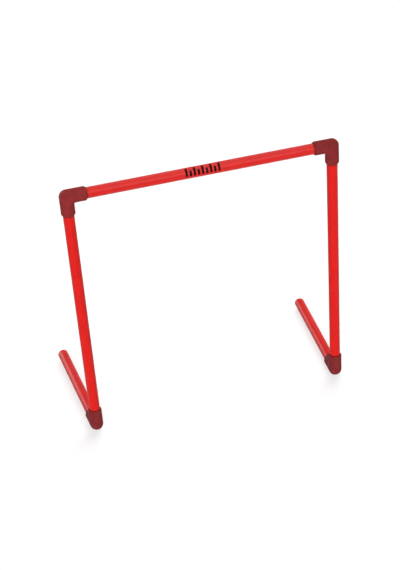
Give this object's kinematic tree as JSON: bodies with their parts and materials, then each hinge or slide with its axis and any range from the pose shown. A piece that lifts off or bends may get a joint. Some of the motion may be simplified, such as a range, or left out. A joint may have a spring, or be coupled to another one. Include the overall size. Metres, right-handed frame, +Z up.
{
  "type": "speed hurdle",
  "caption": "Free-standing training hurdle of round plastic tube: a level crossbar on side uprights, with rear-pointing feet that swivel, joined by push-fit moulded elbows.",
  "frame": {"origin": "on the floor, in the middle of the ground the hurdle covers: midway between the uprights, and midway between the front of the frame and the tips of the feet", "axes": "+X along the crossbar towards the right-hand upright as seen from the front, +Y from the frame back along the feet, +Z up"},
  "size_m": [0.5048, 0.25, 0.487],
  "materials": {
    "tube_red": "semi-gloss extruded rigid plastic, bright red all through",
    "elbow_maroon": "matte injection-moulded rigid plastic, dark red all through",
    "plug_red": "semi-gloss injection-moulded plastic, bright red to match the tube"
  },
  "bodies": {
    "frame": {"crossbar_tube": "tube_red", "left_upright_tube": "tube_red", "right_upright_tube": "tube_red", "upper_left_elbow": "elbow_maroon", "upper_right_elbow": "elbow_maroon"},
    "left_foot": {"lower_left_elbow": "elbow_maroon", "left_foot_tube": "tube_red", "left_foot_plug": "plug_red"},
    "right_foot": {"lower_right_elbow": "elbow_maroon", "right_foot_tube": "tube_red", "right_foot_plug": "plug_red"}
  },
  "joints": [
    {"name": "left_foot_swivel", "type": "hinge", "parent": "frame", "child": "left_foot", "pos_m": [-0.2285, -0.113, 0.012], "axis": [0, 0, 1], "range_deg": [-73.5, 86.5]},
    {"name": "right_foot_swivel", "type": "hinge", "parent": "frame", "child": "right_foot", "pos_m": [0.2285, -0.113, 0.012], "axis": [0, 0, -1], "range_deg": [-73.5, 86.5]}
  ]
}
